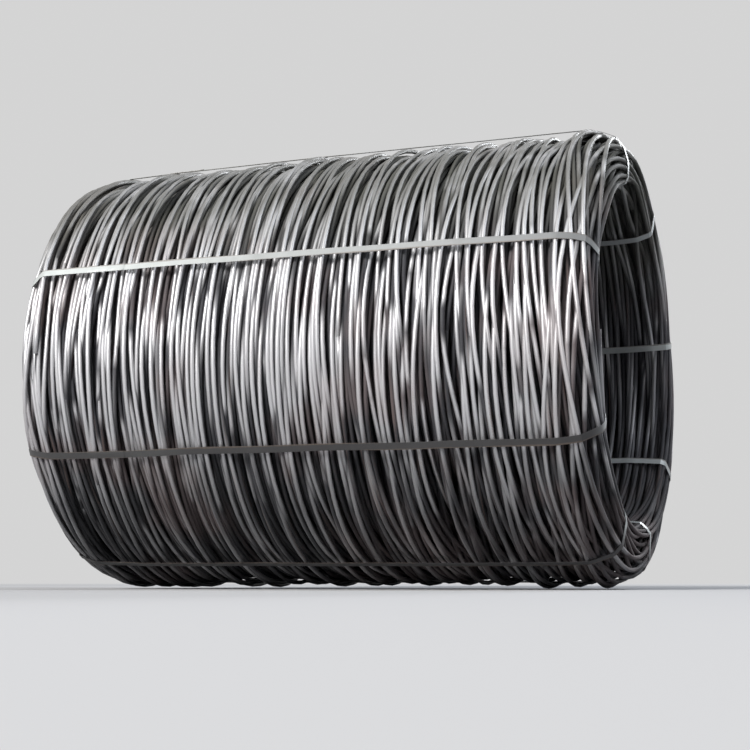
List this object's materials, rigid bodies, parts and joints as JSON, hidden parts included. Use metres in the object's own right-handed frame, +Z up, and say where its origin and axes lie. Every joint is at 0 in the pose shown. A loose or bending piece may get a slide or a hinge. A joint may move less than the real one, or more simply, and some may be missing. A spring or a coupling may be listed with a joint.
{
  "type": "coil of wire rod",
  "caption": "Compacted hollow coil of hot rolled steel wire rod, lying on its side, held by flat steel straps that run along the outside and back through the bore.",
  "frame": {"origin": "on the floor under the middle of the coil", "axes": "+X along the bore towards the end that shows in the picture, +Z up, so the front side faces -Y"},
  "size_m": [1.6036, 1.2496, 1.25],
  "materials": {
    "wire": "hot rolled, dark mill scale with pale worn backs and light rust",
    "strap": "zinc coated strapping, dull"
  },
  "bodies": {
    "root": {"wire_coil": "wire", "strap_1": "strap", "strap_2": "strap", "strap_3": "strap", "strap_4": "strap", "strap_5": "strap", "strap_6": "strap", "strap_7": "strap", "strap_8": "strap"}
  },
  "joints": []
}
